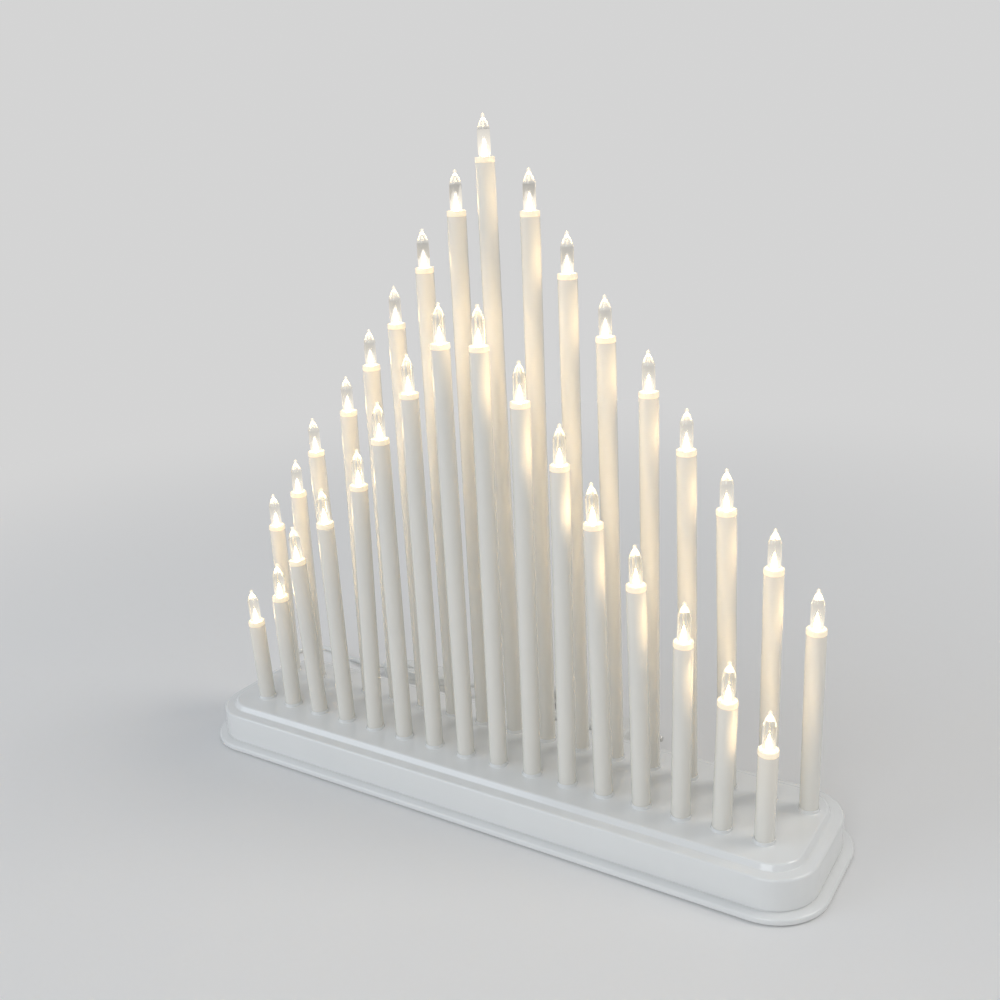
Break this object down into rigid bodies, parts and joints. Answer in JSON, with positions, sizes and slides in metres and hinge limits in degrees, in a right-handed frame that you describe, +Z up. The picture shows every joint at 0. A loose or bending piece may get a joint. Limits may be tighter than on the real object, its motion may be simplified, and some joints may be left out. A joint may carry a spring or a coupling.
{
  "type": "electric candle bridge",
  "caption": "Free-standing electric candle bridge: rows of slim white tubes with clear flame bulbs rise to a peak on a long stepped base, with a switched cord and flat plug.",
  "frame": {"origin": "on the standing surface, below the middle of the base", "axes": "+X along the candle rows to the right seen from the front, +Y to the back where the cord leaves, +Z up"},
  "size_m": [0.4552, 0.1636, 0.3885],
  "materials": {
    "candle_white": "glossy white moulded plastic",
    "holder_cream": "milky translucent plastic, lit warm from inside",
    "bulb_clear": "clear flame bulb",
    "led_warm": "warm white LED, lit",
    "base_white": "glossy white moulded plastic",
    "plate_white": "white plastic plate",
    "foot_rubber": "dark rubber",
    "board_green": "coated circuit board",
    "component_dark": "moulded electronic parts",
    "terminal_green": "moulded terminal block",
    "cord_white": "smooth white cord sheath",
    "tie_white": "white plastic band",
    "switch_white": "white moulded plastic",
    "contact_brass": "stamped brass",
    "plug_white": "white moulded plastic",
    "pin_metal": "nickel-plated brass pins"
  },
  "bodies": {
    "arch": {"candle_tube_back_01": "candle_white", "candle_tube_back_02": "candle_white", "candle_tube_back_03": "candle_white", "candle_tube_back_04": "candle_white", "candle_tube_back_05": "candle_white", "candle_tube_back_06": "candle_white", "candle_tube_back_07": "candle_white", "candle_tube_back_08": "candle_white", "candle_tube_back_09": "candle_white", "candle_tube_back_10": "candle_white", "candle_tube_back_11": "candle_white", "candle_tube_back_12": "candle_white", "candle_tube_back_13": "candle_white", "candle_tube_back_14": "candle_white", "candle_tube_back_15": "candle_white", "candle_tube_back_16": "candle_white", "candle_tube_back_17": "candle_white", "candle_tube_front_01": "candle_white", "candle_tube_front_02": "candle_white", "candle_tube_front_03": "candle_white", "candle_tube_front_04": "candle_white", "candle_tube_front_05": "candle_white", "candle_tube_front_06": "candle_white", "candle_tube_front_07": "candle_white", "candle_tube_front_08": "candle_white", "candle_tube_front_09": "candle_white", "candle_tube_front_10": "candle_white", "candle_tube_front_11": "candle_white", "candle_tube_front_12": "candle_white", "candle_tube_front_13": "candle_white", "candle_tube_front_14": "candle_white", "candle_tube_front_15": "candle_white", "candle_tube_front_16": "candle_white", "lamp_holders_back": "holder_cream", "lamp_holders_front": "holder_cream", "flame_bulbs_back": "bulb_clear", "flame_bulbs_front": "bulb_clear", "leds_back": "led_warm", "leds_front": "led_warm", "base_housing": "base_white", "base_plate": "plate_white", "rubber_feet": "foot_rubber", "driver_board": "board_green", "driver_components": "component_dark", "terminal_block": "terminal_green", "cord_bush": "cord_white", "cord_to_switch": "cord_white", "cord_to_coil": "cord_white", "cord_coil": "cord_white", "cord_to_plug": "cord_white", "coil_tie": "tie_white", "switch_lower_shell": "switch_white", "switch_upper_shell": "switch_white", "switch_contacts": "contact_brass", "plug_body": "plug_white", "plug_pins": "pin_metal"},
    "rocker": {"switch_rocker": "switch_white"}
  },
  "joints": [
    {"name": "rocker_hinge", "type": "hinge", "parent": "arch", "child": "rocker", "pos_m": [-0.124, 0.085, 0.0099], "axis": [-0.0349, 0.9994, 0], "range_deg": [0, 18]}
  ]
}
